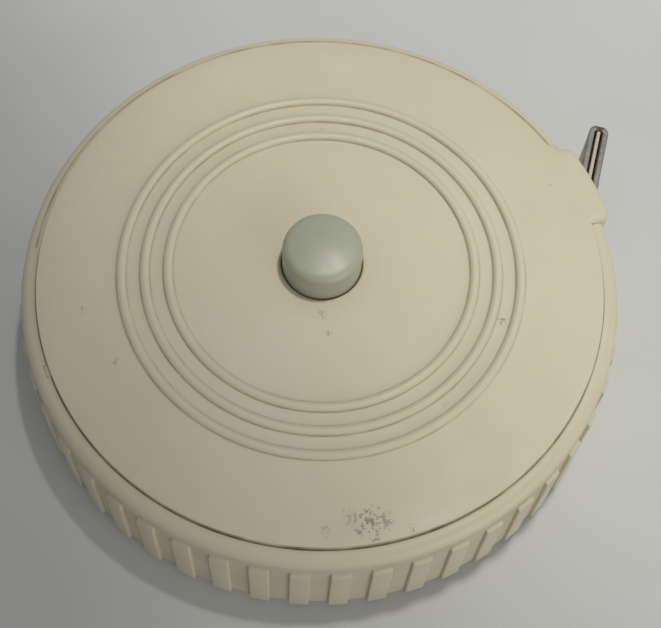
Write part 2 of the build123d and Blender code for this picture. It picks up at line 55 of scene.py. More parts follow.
COVER_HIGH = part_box("case_cover")[1]
BUTTON_LOW, BUTTON_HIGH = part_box("push_button")
LEAD_LOW, LEAD_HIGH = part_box("tape_lead")
CLIP_LOW, CLIP_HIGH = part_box("end_clip")

BEAD_HEIGHT = 0.35 * MM
BEAD_HALF = 0.45 * MM
BEADS = (13.48 * MM, 15.5 * MM, 17.52 * MM)
TOP = COVER_HIGH.z - BEAD_HEIGHT  # the cover's flat face
HOLE = 3.58 * MM
COVER_R = 24.85 * MM
COVER_UNDER = TOP - 1.5 * MM
RIM = CASE_HIGH.z  # top of the cup's rim
BASE_ROUND = 0.5 * MM
RIM_ROUND, LIP, SEAM_DEPTH = 1.0 * MM, 0.04 * MM, 0.09 * MM
WALL = 26.25 * MM
INNER = 24.2 * MM
REBATE = 24.93 * MM
LEDGE = 9.3 * MM
FLOOR_TOP = 1.2 * MM
RIB_OUT, RIB_ROOT = 26.55 * MM, 25.8 * MM
RIB_LOW, RIB_TOP = 0.3 * MM, 8.3 * MM
RIB_SLOPE = 0.45 * MM
RIB_COUNT, RIB_START, RIB_SPAN = 51, -106.5, 3.55
NOSE_R = 27.0 * MM
NOSE_LEFT = Vector((19.6, 14.05)) * MM
NOSE_RIGHT = Vector((26.2, 6.55)).normalized() * NOSE_R
NOSE_RIGHT_IN = Vector((23.6, 5.5)) * MM
NOSE_CORNER = 1.1 * MM
NOSE_LOW = 0.3 * MM

TAPE_ANGLE = math.radians(76.5)
ALONG = Vector((math.cos(TAPE_ANGLE), math.sin(TAPE_ANGLE), 0))
OUT = Vector((ALONG.y, -ALONG.x, 0))
TAPE_AT = 21.43 * MM
TAPE_THICK = 0.33 * MM
CLIP_START, CLIP_TIP = 15.0 * MM, 23.8 * MM
CLIP_WIDE, CLIP_SHEET = 1.85 * MM, 0.55 * MM
MOUTH_STEP, MOUTH_WIDE, SLOT_WIDE = 14.8 * MM, 2.7 * MM, 1.0 * MM
MOUTH_FLOOR = 1.5 * MM
ABOVE_ALL = 12 * MM  # a height over the whole case, for cutting tools
GUIDE_NEAR, GUIDE_START, GUIDE_OUT = 19.3 * MM, 10.5 * MM, 25.3 * MM
SNAP_COUNT, SNAP_START, SNAP_STEP = 5, 62.0, 72
SNAP_R, SNAP_MIDDLE_Z = 23.73 * MM, 8.25 * MM
SNAP_SIZE = (0.6 * MM, 4 * MM, 2.2 * MM)
KEY_ANGLE = math.radians(-152.7)
KEY_IN, KEY_OUT, KEY_WIDE = 24.05 * MM, 25.2 * MM, 1.1 * MM


def tape_point(s, t, z):
    """A point s along the tape, t out from its middle, at height z."""
    return ALONG * s + OUT * (TAPE_AT + t) + Vector((0, 0, z))


# ---------------------------------------------------------------- mesh helpers
def put(name, verts, faces, sharp=35.0):
    mesh = bpy.data.meshes.new(name)
    mesh.from_pydata([tuple(v) for v in verts], [], faces)
    bm = bmesh.new()
    bm.from_mesh(mesh)
    bmesh.ops.remove_doubles(bm, verts=bm.verts, dist=1e-7)
    bmesh.ops.recalc_face_normals(bm, faces=bm.faces)
    bm.to_mesh(mesh)
    bm.free()
    mesh.update()
    smooth(mesh, sharp)
    obj = bpy.data.objects.new(name, mesh)
    bpy.context.scene.collection.objects.link(obj)
    return obj


def smooth(mesh, sharp):
    for p in mesh.polygons:
        p.use_smooth = True
    mesh.set_sharp_from_angle(angle=math.radians(sharp))


def turned(name, profile, steps=240, sharp=35.0):
    """A solid turned about Z from a closed (r, z) profile. Points on the axis become one vertex."""
    verts, faces, rings = [], [], []
    for r, z in profile:
        if r < 1e-9:
            rings.append([len(verts)])
            verts.append((0, 0, z))
        else:
            ring = []
            for i in range(steps):
                a = 2 * math.pi * i / steps
                ring.append(len(verts))
                verts.append((r * math.cos(a), r * math.sin(a), z))
            rings.append(ring)
    pairs = list(zip(rings, rings[1:]))
    if len(rings[0]) > 1 or len(rings[-1]) > 1:
        pairs.append((rings[-1], rings[0]))
    for a, b in pairs:
        for i in range(steps):
            j = (i + 1) % steps
            if len(a) == 1 and len(b) == 1:
                continue
            if len(a) == 1:
                faces.append((a[0], b[i], b[j]))
            elif len(b) == 1:
                faces.append((a[i], b[0], a[j]))
            else:
                faces.append((a[i], b[i], b[j], a[j]))
    return put(name, verts, faces, sharp)


def arc(cx, cy, r, a0, a1, n):
    out = []
    for i in range(n + 1):
        a = math.radians(a0 + (a1 - a0) * i / n)
        out.append((cx + r * math.cos(a), cy + r * math.sin(a)))
    return out


def rounded(points, radius, n=8):
    """An open 2-D path of Vectors with its inner corners rounded."""
    out = [points[0]]
    for a, b, c in zip(points, points[1:], points[2:]):
        u, v = (a - b).normalized(), (c - b).normalized()
        half = math.acos(max(-1, min(1, u.dot(v)))) / 2
        d = radius / math.tan(half)
        centre = b + (u + v).normalized() * (radius / math.sin(half))
        p, q = b + u * d, b + v * d
        a0 = math.atan2(*(p - centre).yx)
        a1 = math.atan2(*(q - centre).yx)
        turn = (a1 - a0 + math.pi) % (2 * math.pi) - math.pi
        for i in range(n + 1):
            w = a0 + turn * i / n
            out.append(centre + Vector((math.cos(w), math.sin(w))) * radius)
    out.append(points[-1])
    return out


def nose_path():
    """The nose outline from its right inner point, round its front, to its left inner point."""
    corner = Vector((math.sqrt(NOSE_R**2 - NOSE_LEFT.y**2), NOSE_LEFT.y))
    a0 = math.atan2(NOSE_RIGHT.y, NOSE_RIGHT.x)
    a1 = math.atan2(corner.y, corner.x)
    near = rounded([NOSE_RIGHT_IN, NOSE_RIGHT, polar(NOSE_R, a0 + 0.09)], NOSE_CORNER)
    far = rounded([polar(NOSE_R, a1 - 0.09), corner, NOSE_LEFT], NOSE_CORNER)
    front = [polar(NOSE_R, a0 + 0.09 + (a1 - a0 - 0.18) * i / 24) for i in range(1, 24)]
    return near[:-1] + front + far[1:]


def polar(r, a):
    return Vector((r * math.cos(a), r * math.sin(a)))


def dense(points, gap):
    out = []
    for a, b in zip(points, points[1:]):
        n = max(1, int((b - a).length / gap))
        out += [a.lerp(b, i / n) for i in range(n)]
    return out + [points[-1]]


def prism(name, points, low, high, sharp=35.0):
    n = len(points)
    verts = [(p.x, p.y, low) for p in points] + [(p.x, p.y, high) for p in points]
    faces = [tuple(range(n - 1, -1, -1)), tuple(range(n, 2 * n))]
    faces += [(i, (i + 1) % n, n + (i + 1) % n, n + i) for i in range(n)]
    return put(name, verts, faces, sharp)


def tape_block(name, s0, s1, wide, low, high):
    corners = ((s0, -wide / 2), (s0, wide / 2), (s1, wide / 2), (s1, -wide / 2))
    points = [tape_point(s, t, 0).xy for s, t in corners]
    return prism(name, points, low, high)


def cut(obj, *tools):
    """obj with the tools taken out of it; the tools are used up."""
    for tool in tools:
        m = obj.modifiers.new("cut", "BOOLEAN")
        m.operation = "DIFFERENCE"
        m.solver = "EXACT"
        m.object = tool
    bpy.context.view_layer.update()
    done = bpy.data.meshes.new_from_object(obj.evaluated_get(bpy.context.evaluated_depsgraph_get()))
    obj.modifiers.clear()
    obj.data = done
    for tool in tools:
        bpy.data.objects.remove(tool)
    return obj


def join(name, objs, sharp=35.0):
    bm = bmesh.new()
    for o in objs:
        bm.from_mesh(o.data)
    mesh = bpy.data.meshes.new(name)
    bm.to_mesh(mesh)
    bm.free()
    for o in objs:
        bpy.data.objects.remove(o)
    smooth(mesh, sharp)
    obj = bpy.data.objects.new(name, mesh)
    bpy.context.scene.collection.objects.link(obj)
    return obj


def block(name, centre, size, turn, bevel):
    """A box with rounded edges, turned about Z."""
    bm = bmesh.new()
    bmesh.ops.create_cube(bm, size=1.0)
    bmesh.ops.scale(bm, vec=size, verts=bm.verts)
    bmesh.ops.bevel(bm, geom=bm.edges[:], offset=bevel, segments=3, profile=0.5, affect="EDGES")
    place = Matrix.Translation(centre) @ Matrix.Rotation(turn, 4, "Z")
    bmesh.ops.transform(bm, matrix=place, verts=bm.verts)
    mesh = bpy.data.meshes.new(name)
    bm.to_mesh(mesh)
    bm.free()
    obj = bpy.data.objects.new(name, mesh)
    bpy.context.scene.collection.objects.link(obj)
    return obj


# ---------------------------------------------------------------- the cover
def cover():
    """The cover's face, beads and nose as one skin: inner rings are circles, outer ones the outline."""
    nose = nose_path()
    right = nose[0]
    for a, b in zip(nose, nose[1:]):  # where the nose leaves the cover's circle
        if a.length < COVER_R <= b.length:
            right = a.lerp(b, (COVER_R - a.length) / (b.length - a.length))
    left = nose[-1]
    for a, b in zip(nose, nose[1:]):
        if a.length >= COVER_R > b.length:
            left = a.lerp(b, (a.length - COVER_R) / (a.length - b.length))
    outside = [right] + [p for p in nose if p.length > COVER_R + 1e-6] + [left]
    a0 = math.atan2(left.y, left.x)
    a1 = math.atan2(right.y, right.x) + 2 * math.pi
    circle = [polar(COVER_R, a0 + (a1 - a0) * i / 420) for i in range(1, 420)]
    outline = dense(outside, 0.25 * MM) + circle
    n = len(outline)
    normals, rounding = [], []
    for i, p in enumerate(outline):
        d = (outline[(i + 1) % n] - outline[i - 1]).normalized()
        normals.append(Vector((d.y, -d.x)))
        out = min(1.0, max(0.0, (p.length - COVER_R) / (1.0 * MM)))
        rounding.append((0.12 + 0.80 * out) * MM)
    hole_round = 0.25 * MM
    profile = [(HOLE, COVER_UNDER), (HOLE, TOP - hole_round)]
    profile += arc(HOLE + hole_round, TOP - hole_round, hole_round, 180, 90, 4)[1:]
    profile += [(6 * MM, TOP), (9 * MM, TOP), (12 * MM, TOP)]
    for r in BEADS:
        profile.append((r - BEAD_HALF * 1.25, TOP))
        for i in range(15):
            a = math.pi * (1 - i / 14)
            x = math.cos(a)
            z = BEAD_HEIGHT * math.sqrt(max(0, 1 - x * x))
            profile.append((r + BEAD_HALF * x, TOP + z))
        profile.append((r + BEAD_HALF * 1.25, TOP))
    profile += [(20 * MM, TOP), (22 * MM, TOP), (23.4 * MM, TOP)]
    verts, faces = [], []
    for r, z in profile:
        for p in outline:
            q = p.normalized() * r
            verts.append((q.x, q.y, z))
    edge = [(1.0, 0.0)]
    for k in range(1, 7):
        a = math.radians(15 * k)
        edge.append((1 - math.sin(a), 1 - math.cos(a)))
    rows = len(profile)
    for inset, drop in edge:
        for p, m, k in zip(outline, normals, rounding):
            q = p - m * k * inset
            verts.append((q.x, q.y, TOP - k * drop))
        rows += 1
    for p in outline:
        verts.append((p.x, p.y, COVER_UNDER))
    rows += 1
    for p in outline:
        q = p.normalized() * (23.4 * MM)
        verts.append((q.x, q.y, COVER_UNDER))
    rows += 1
    for k in range(rows):
        a, b = k * n, ((k + 1) % rows) * n
        for i in range(n):
            j = (i + 1) % n
            faces.append((a + i, a + j, b + j, b + i))
    return put("cover", verts, faces, 50.0)


cover_obj = cover()

# snap fingers and the locating key under and beside the cover
extras = [cover_obj]
for i in range(SNAP_COUNT):
    a = math.radians(SNAP_START + SNAP_STEP * i)
    middle = polar(SNAP_R, a).to_3d() + Vector((0, 0, SNAP_MIDDLE_Z))
    extras.append(block(f"finger_{i}", middle, SNAP_SIZE, a, 0.1 * MM))
key_middle = polar((KEY_IN + KEY_OUT) / 2, KEY_ANGLE).to_3d() + Vector((0, 0, (LEDGE + RIM) / 2))
extras.append(block("key", key_middle, (KEY_OUT - KEY_IN, KEY_WIDE, RIM - LEDGE), KEY_ANGLE, 0.05 * MM))
cover_obj = join("cover", extras, 50.0)
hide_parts("case_cover")
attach(cover_obj, "case")

# ---------------------------------------------------------------- the cup
cup_profile = [(0, 0), (12 * MM, 0), (24 * MM, 0)]
cup_profile += arc(WALL - BASE_ROUND, BASE_ROUND, BASE_ROUND, -90, 0, 6)
cup_profile += [(WALL, 3 * MM), (WALL, 6 * MM)]
cup_profile += arc(WALL - RIM_ROUND, RIM - RIM_ROUND, RIM_ROUND, 0, 90, 12)
cup_profile += arc(REBATE + LIP, RIM - LIP, LIP, 90, 180, 4)
seat = COVER_R + 0.01 * MM
cup_profile += [(REBATE, RIM - SEAM_DEPTH), (seat, RIM - SEAM_DEPTH), (seat, LEDGE), (INNER, LEDGE)]
cup_profile += [(INNER, 5 * MM), (INNER, FLOOR_TOP), (12 * MM, FLOOR_TOP), (0, FLOOR_TOP)]
wall = turned("wall", cup_profile, 360)


def grow(points, by):
    out = []
    for i, p in enumerate(points):
        d = (points[(i + 1) % len(points)] - points[i - 1]).normalized()
        out.append(p + Vector((d.y, -d.x)) * by)
    return out


def mouth_tools():
    """The narrow slot for the tape and the wider mouth for the clip, to be cut away."""
    narrow = tape_block("narrow", 9.0 * MM, MOUTH_STEP + 0.1 * MM, SLOT_WIDE, MOUTH_FLOOR, ABOVE_ALL)
    wide = tape_block("wide", MOUTH_STEP, 25 * MM, MOUTH_WIDE, MOUTH_FLOOR, ABOVE_ALL)
    return narrow, wide


def guide_path():
    """The guide block's outline: a corner on the inside, the case's circle on the outside."""
    a0 = math.atan2(math.sqrt(GUIDE_OUT**2 - GUIDE_START**2), GUIDE_START)
    a1 = math.atan2(GUIDE_NEAR, math.sqrt(GUIDE_OUT**2 - GUIDE_NEAR**2))
    inside = tape_point(GUIDE_START, GUIDE_NEAR - TAPE_AT, 0).xy
    flat = [polar(GUIDE_OUT, a0 + (a1 - a0) * i / 8) for i in range(9)]
    return [inside] + [tape_point(p.x, p.y - TAPE_AT, 0).xy for p in flat]


def rib(name, angle):
    """One grip rib: an upright bar whose top slopes out and down from the wall."""
    wide = 2 * RIB_OUT * math.sin(math.radians(RIB_SPAN / 2))
    high = RIB_TOP + RIB_SLOPE
    side = [(RIB_ROOT, RIB_LOW), (RIB_OUT, RIB_LOW), (RIB_OUT, RIB_TOP), (WALL, high), (RIB_ROOT, high)]
    bm = bmesh.new()
    rows = []
    for y in (-wide / 2, wide / 2):
        rows.append([bm.verts.new((r, y, z)) for r, z in side])
    bm.faces.new(rows[0][::-1])
    bm.faces.new(rows[1])
    for i in range(5):
        j = (i + 1) % 5
        bm.faces.new((rows[0][i], rows[0][j], rows[1][j], rows[1][i]))
    bmesh.ops.recalc_face_normals(bm, faces=bm.faces)
    bmesh.ops.bevel(bm, geom=bm.edges[:], offset=0.12 * MM, segments=3, profile=0.5, affect="EDGES")
    bmesh.ops.rotate(bm, cent=(0, 0, 0), matrix=Matrix.Rotation(angle, 3, "Z"), verts=bm.verts)
    mesh = bpy.data.meshes.new(name)
    bm.to_mesh(mesh)
    bm.free()
    obj = bpy.data.objects.new(name, mesh)
    bpy.context.scene.collection.objects.link(obj)
    return obj


nose_room = prism("nose_room", grow(nose_path(), 0.05 * MM), LEDGE, ABOVE_ALL)
notch_middle = polar((KEY_IN + KEY_OUT) / 2, KEY_ANGLE).to_3d() + Vector((0, 0, LEDGE + 0.7 * MM))
notch_size = (KEY_OUT - KEY_IN + 0.04 * MM, KEY_WIDE + 0.06 * MM, 1.4 * MM)
notch = block("notch", notch_middle, notch_size, KEY_ANGLE, 0.01 * MM)
wall = cut(wall, nose_room, notch, *mouth_tools())
nose_block = cut(prism("nose_block", nose_path(), NOSE_LOW, LEDGE), *mouth_tools())
guide = cut(prism("guide", guide_path(), FLOOR_TOP - 0.2 * MM, LEDGE), *mouth_tools())
ribs = []
for i in range(RIB_COUNT):
    angle = (RIB_START + RIB_SPAN / 2 + i * 360 / RIB_COUNT + 180) % 360 - 180
    if not 8.0 < angle < 36.0:
        ribs.append(rib(f"rib_{i}", math.radians(angle)))
cup_obj = join("cup", [wall, nose_block, guide] + ribs, 40.0)
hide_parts("case_body")
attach(cup_obj, "case")

# ---------------------------------------------------------------- the button
BUTTON_R, STEM_R, FLANGE_R = 3.5 * MM, 3.0 * MM, 4.1 * MM
FLANGE_LOW, FLANGE_TOP = 8.75 * MM, 9.2 * MM
SHOULDER_R = 0.85 * MM
SHOULDER_Z = BUTTON_HIGH.z - 1.15 * MM
button_profile = [(0, BUTTON_LOW.z), (STEM_R, BUTTON_LOW.z), (STEM_R, FLANGE_LOW), (FLANGE_R, FLANGE_LOW)]
button_profile += [(FLANGE_R, FLANGE_TOP), (BUTTON_R, FLANGE_TOP), (BUTTON_R, 11 * MM)]
button_profile += arc(BUTTON_R - SHOULDER_R, SHOULDER_Z, SHOULDER_R, 0, 68, 14)
edge_r, edge_z = button_profile[-1]
for i in range(1, 17):
    k = i / 16
    button_profile.append((edge_r * (1 - k), edge_z + (BUTTON_HIGH.z - edge_z) * (1 - (1 - k) ** 2)))
button_obj = turned("button", button_profile, 128, 40.0)
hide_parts("push_button")
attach(button_obj, "button")

# ---------------------------------------------------------------- the tape end
def rounded_bar(half, low, high, edge, n):
    """A standing bar's (x, z) section with rounded corners."""
    corners = (
        (half - edge, high - edge, 0),
        (edge - half, high - edge, 90),
        (edge - half, low + edge, 180),
        (half - edge, low + edge, 270),
    )
    section = []
    for x, z, start in corners:
        section += arc(x, z, edge, start, start + 90, n)
    return section


def clip():
    """One sheet folded round the tape's end: a section swept along the fold's plan path."""
    fold = CLIP_TIP - CLIP_WIDE / 2
    mid = (CLIP_WIDE - CLIP_SHEET) / 2
    path = [(CLIP_START + (fold - CLIP_START) * i / 24, mid, 0.0) for i in range(24)]
    for i in range(25):
        a = math.pi * i / 24
        path.append((fold + mid * math.sin(a), mid * math.cos(a), a))
    path += [(fold - (fold - CLIP_START) * i / 24, -mid, math.pi) for i in range(1, 25)]
    low_r, top_r = 2.5 * MM, 0.2 * MM
    low, high = CLIP_LOW.z, CLIP_HIGH.z
    edge = 0.09 * MM
    verts, faces, n = [], [], 0
    for s, t, turn in path:
        d = max(0.0, s + CLIP_SHEET / 2 * math.sin(turn) - (CLIP_TIP - low_r))
        z0 = low + low_r - math.sqrt(max(0, low_r**2 - min(d, low_r) ** 2))
        d = max(0.0, s + CLIP_SHEET / 2 * math.sin(turn) - (CLIP_TIP - top_r))
        z1 = high - top_r + math.sqrt(max(0, top_r**2 - min(d, top_r) ** 2))
        section = rounded_bar(CLIP_SHEET / 2, z0, z1, edge, 3)
        n = len(section)
        for x, z in section:  # x runs outward, square to the path
            verts.append(tape_point(s + x * math.sin(turn), t + x * math.cos(turn), z))
    for k in range(len(path) - 1):
        for i in range(n):
            j = (i + 1) % n
            faces.append((k * n + i, k * n + j, (k + 1) * n + j, (k + 1) * n + i))
    faces.append(tuple(range(n)))
    faces.append(tuple((len(path) - 1) * n + i for i in range(n - 1, -1, -1)))
    return put("clip", verts, faces, 40.0)


clip_obj = clip()
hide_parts("end_clip")
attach(clip_obj, "tape_end")


def strip():
    """The tape's free end, cut into short lengths along its line."""
    s0, s1 = 1.0 * MM, CLIP_TIP - 0.7 * MM
    stations = 160
    section = rounded_bar(TAPE_THICK / 2, LEAD_LOW.z, LEAD_HIGH.z, 0.06 * MM, 2)
    n = len(section)
    verts, faces = [], []
    for k in range(stations + 1):
        s = s0 + (s1 - s0) * k / stations
        for x, z in section:
            verts.append(tape_point(s, x, z))
    for k in range(stations):
        for i in range(n):
            j = (i + 1) % n
            faces.append((k * n + i, k * n + j, (k + 1) * n + j, (k + 1) * n + i))
    faces.append(tuple(range(n)))
    faces.append(tuple(stations * n + i for i in range(n - 1, -1, -1)))
    return put("tape_strip", verts, faces, 40.0)


strip_obj = strip()
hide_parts("tape_lead")
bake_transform(strip_obj)


# ---------------------------------------------------------------- materials
def material(name):
    m = bpy.data.materials.new(name)
    m.use_nodes = True
    t = m.node_tree
    t.nodes.clear()
    out = t.nodes.new("ShaderNodeOutputMaterial")
    bsdf = t.nodes.new("ShaderNodeBsdfPrincipled")
    t.links.new(bsdf.outputs[0], out.inputs[0])
    return m, t, bsdf


def node(t, kind, inputs=(), **settings):
    n = t.nodes.new(kind)
    for key, value in settings.items():
        setattr(n, key, value)
    for key, value in dict(inputs).items():
        if isinstance(value, bpy.types.NodeSocket):
            t.links.new(value, n.inputs[key])
        else:
            n.inputs[key].default_value = value
    return n


def ramp(t, fac, stops, mode="LINEAR"):
    n = t.nodes.new("ShaderNodeValToRGB")
    n.color_ramp.interpolation = mode
    while len(n.color_ramp.elements) < len(stops):
        n.color_ramp.elements.new(0.5)
    for e, (pos, col) in zip(n.color_ramp.elements, stops):
        e.position = pos
        e.color = (col, col, col, 1) if isinstance(col, float) else (*col, 1)
    t.links.new(fac, n.inputs[0])
    return n.outputs[0]


def mix(t, fac, a, b, how="MIX"):
    n = t.nodes.new("ShaderNodeMix")
    n.data_type = "RGBA"
    n.blend_type = how
    for socket, value in ((n.inputs[0], fac), (n.inputs[6], a), (n.inputs[7], b)):
        if isinstance(value, bpy.types.NodeSocket):
            t.links.new(value, socket)
        else:
            socket.default_value = value if isinstance(value, float) else (*value, 1)
    return n.outputs[2]


def math_node(t, how, a, b=None, c=None):
    n = t.nodes.new("ShaderNodeMath")
    n.operation = how
    for i, value in enumerate((a, b, c)):
        if value is None:
            continue
        if isinstance(value, bpy.types.NodeSocket):
            t.links.new(value, n.inputs[i])
        else:
            n.inputs[i].default_value = value
    return n.outputs[0]


def noise(t, vector, scale, detail=3.0, rough=0.5):
    inputs = {"Vector": vector, "Scale": scale, "Detail": detail, "Roughness": rough}
    return node(t, "ShaderNodeTexNoise", inputs).outputs[0]


def spread(t, value, low, high, at_low, at_high):
    """The value carried from one range to another and held inside it."""
    inputs = {0: value, 1: low, 2: high, 3: at_low, 4: at_high}
    return node(t, "ShaderNodeMapRange", inputs, clamp=True).outputs[0]


def radius_of(t, vector):
    xyz = node(t, "ShaderNodeSeparateXYZ", {0: vector}).outputs
    flat = node(t, "ShaderNodeCombineXYZ", {0: xyz[0], 1: xyz[1]})
    return node(t, "ShaderNodeVectorMath", {0: flat.outputs[0]}, operation="LENGTH").outputs["Value"], xyz


def band(t, r, at, half):
    """1 on the circle of that radius, fading to 0 half a width away."""
    d = math_node(t, "ABSOLUTE", math_node(t, "SUBTRACT", r, at))
    return spread(t, d, 0.0, half, 1.0, 0.0)


IVORY = (0.630, 0.588, 0.440)
IVORY_WARM = (0.600, 0.548, 0.385)
# colour of the dark bands: grime and painted shade along seams, bead feet, the hole's edge and the rim's
# foot
GRIME_AND_SHADE = (0.150, 0.100, 0.045)
SCUFF = (0.120, 0.105, 0.068)
COVER_MARKS = (
    (3.6, -22.5, 1.3, 0.35), (4.9, -22.5, 1.6, 0.7), (6.1, -22.5, 1.1, 0.5), (4.2, -23.4, 0.7, 0.7),
    (5.4, -23.8, 0.6, 0.6), (8.2, -22.9, 0.45, 0.8), (0.3, -5.2, 0.8, 0.3), (0.9, -6.8, 0.5, 0.4),
    (0.0, -4.6, 0.5, 0.3), (-0.9, 14.2, 0.35, 0.6), (10.8, -12.6, 0.5, 0.35), (15.65, -4.67, 0.5, 0.75),
    (20.6, 9.5, 0.35, 0.4), (-20.1, -5.9, 0.5, 0.35), (-16.5, -10.5, 0.5, 0.4), (1.4, -23.4, 0.8, 0.3),
)


def smudges(t, here, marks, colour):
    """Dark scuffs at given (x, y, reach, strength), broken up by noise so that each is irregular."""
    if not marks:
        return colour
    torn = noise(t, here, 2600.0, 5.0, 0.7)
    total = None
    for x, y, reach, strength in marks:
        centre = (x * MM, y * MM, TOP)
        away = node(t, "ShaderNodeVectorMath", {0: here, 1: centre}, operation="DISTANCE").outputs["Value"]
        near = spread(t, away, 0.0, reach * MM, 1.0, 0.0)
        over = math_node(t, "MULTIPLY_ADD", near, 0.20, math_node(t, "SUBTRACT", torn, 0.60))
        patch = node(t, "ShaderNodeClamp", {0: math_node(t, "MULTIPLY", over, 9.0)}).outputs[0]
        fade = node(t, "ShaderNodeClamp", {0: math_node(t, "MULTIPLY", near, 4.0)}).outputs[0]
        patch = math_node(t, "MULTIPLY", patch, math_node(t, "MULTIPLY", fade, strength))
        total = patch if total is None else math_node(t, "MAXIMUM", total, patch)
    return mix(t, total, colour, SCUFF)


def ivory(name, seams, marks=()):
    """Ivory moulded plastic with worn sheen, grime and painted shade on given circles, specks and fine
    scratches.
    """
    m, t, bsdf = material(name)
    here = node(t, "ShaderNodeTexCoord").outputs["Object"]
    r, xyz = radius_of(t, here)
    tone = ramp(t, noise(t, here, 55.0, 4.0), [(0.35, IVORY), (0.72, IVORY_WARM)])
    blotch = ramp(t, noise(t, here, 210.0, 5.0, 0.6), [(0.30, 0.955), (0.70, 1.0)])
    colour = mix(t, 1.0, tone, blotch, "MULTIPLY")
    # grime and painted shade in the corners: dark bands on the given circles stand in for dirt and for the
    # shade in seams and creases
    patchy = ramp(t, noise(t, here, 330.0, 3.0), [(0.36, 0.0), (0.66, 1.0)])
    angle = math_node(t, "ARCTAN2", xyz[1], xyz[0])
    off_nose = math_node(t, "ABSOLUTE", math_node(t, "SUBTRACT", angle, math.radians(24.2)))
    clear = math_node(t, "GREATER_THAN", off_nose, math.radians(11.2))
    grime_and_shade = None
    for at, half, strength in seams:
        b = math_node(t, "MULTIPLY", band(t, r, at, half), strength)
        if at > BEADS[-1] + MM:
            b = math_node(t, "MULTIPLY", b, clear)
        grime_and_shade = b if grime_and_shade is None else math_node(t, "MAXIMUM", grime_and_shade, b)
    if name == "cup_ivory":
        far_side = spread(t, angle, 0.50, 0.62, 0.0, 1.0)
        # a darker band on the rim just outside the seam, on the far half only: painted shade and grime
        # along the seam
        far_seam_grime_and_shade = math_node(t, "MULTIPLY", band(t, r, COVER_R + 0.42 * MM, 0.16 * MM), 0.85)
        grime_and_shade = math_node(t, "MAXIMUM", grime_and_shade, math_node(t, "MULTIPLY", far_seam_grime_and_shade, far_side))
    if grime_and_shade is not None:
        uneven = math_node(t, "MULTIPLY_ADD", patchy, 0.75, 0.25)
        colour = mix(t, math_node(t, "MULTIPLY", grime_and_shade, uneven), colour, GRIME_AND_SHADE)
    # specks: small cells kept only where a second pattern allows
    cells = node(t, "ShaderNodeTexVoronoi", {"Vector": here, "Scale": 700.0, "Randomness": 1.0})
    dot = spread(t, cells.outputs["Distance"], 0.05, 0.11, 1.0, 0.0)
    pick = ramp(t, cells.outputs["Color"], [(0.0, 0.0), (0.90, 0.0), (0.93, 1.0)])
    speck = math_node(t, "MULTIPLY", math_node(t, "MULTIPLY", dot, pick), 0.55)
    colour = mix(t, speck, colour, (0.16, 0.12, 0.07))
    colour = smudges(t, here, marks, colour)
    t.links.new(colour, bsdf.inputs["Base Color"])
    gloss = ramp(t, noise(t, here, 140.0, 6.0, 0.65), [(0.3, 0.40), (0.75, 0.56)])
    t.links.new(gloss, bsdf.inputs["Roughness"])
    bsdf.inputs["Subsurface Weight"].default_value = 0.0
    bsdf.inputs["IOR"].default_value = 1.46
    fine = noise(t, here, 900.0, 4.0, 0.6)
    broad = noise(t, here, 90.0, 2.0)
    height = math_node(t, "MULTIPLY_ADD", broad, 1.6, fine)
    bump = node(t, "ShaderNodeBump", {"Height": height, "Strength": 0.12, "Distance": 0.00006})
    t.links.new(bump.outputs[0], bsdf.inputs["Normal"])
    return m


feet = []
for r in BEADS:
    feet += [(r - BEAD_HALF, 0.13 * MM, 0.34), (r + BEAD_HALF, 0.13 * MM, 0.34)]
# dark bands at the bead feet, the cover's edge and the hole: grime and painted shade in these creases and
# gaps
cover_grime_and_shade = feet + [(COVER_R, 0.07 * MM, 0.8), (HOLE, 0.10 * MM, 0.35)]
cover_mat = ivory("cover_ivory", cover_grime_and_shade, COVER_MARKS)
# dark bands at the seam and at the rim's foot on the wall: grime and painted shade
cup_mat = ivory("cup_ivory", [(REBATE - 0.03 * MM, 0.09 * MM, 0.9), (WALL, 0.06 * MM, 0.16)])


def simple(name, colour, other, rough, metal=0.0, scale=400.0, bump_mm=0.01, coat=0.0):
    """A material of two close tones and uneven gloss."""
    m, t, bsdf = material(name)
    here = node(t, "ShaderNodeTexCoord").outputs["Object"]
    tone = ramp(t, noise(t, here, scale, 5.0, 0.6), [(0.3, colour), (0.7, other)])
    t.links.new(tone, bsdf.inputs["Base Color"])
    gloss_stops = [(0.3, rough * 0.8), (0.7, min(1.0, rough * 1.25))]
    t.links.new(ramp(t, noise(t, here, scale * 2.3, 4.0), gloss_stops), bsdf.inputs["Roughness"])
    bsdf.inputs["Metallic"].default_value = metal
    bsdf.inputs["Coat Weight"].default_value = coat
    height = noise(t, here, scale * 4.0, 3.0)
    bump = node(t, "ShaderNodeBump", {"Height": height, "Strength": 0.25, "Distance": bump_mm * MM})
    t.links.new(bump.outputs[0], bsdf.inputs["Normal"])
    return m


button_mat = simple("button_plastic", (0.415, 0.425, 0.330), (0.380, 0.388, 0.295), 0.36, scale=160.0)
CLIP_GREY, CLIP_DULL = (0.300, 0.290, 0.255), (0.210, 0.200, 0.172)
clip_mat = simple("clip_metal", CLIP_GREY, CLIP_DULL, 0.40, 0.85, scale=900.0, bump_mm=0.02)
steel_mat = simple("steel", (0.55, 0.55, 0.54), (0.42, 0.42, 0.41), 0.32, 1.0, scale=700.0)
spring_mat = simple("spring_steel", (0.20, 0.21, 0.25), (0.12, 0.13, 0.17), 0.30, 1.0, scale=800.0)
brass_mat = simple("brass", (0.62, 0.43, 0.17), (0.48, 0.31, 0.11), 0.33, 1.0, scale=500.0)
rubber_mat = simple("rubber", (0.030, 0.030, 0.031), (0.018, 0.018, 0.019), 0.78, scale=600.0, bump_mm=0.03)
white_mat = simple("white_plastic", (0.62, 0.61, 0.56), (0.55, 0.54, 0.49), 0.42, scale=220.0)


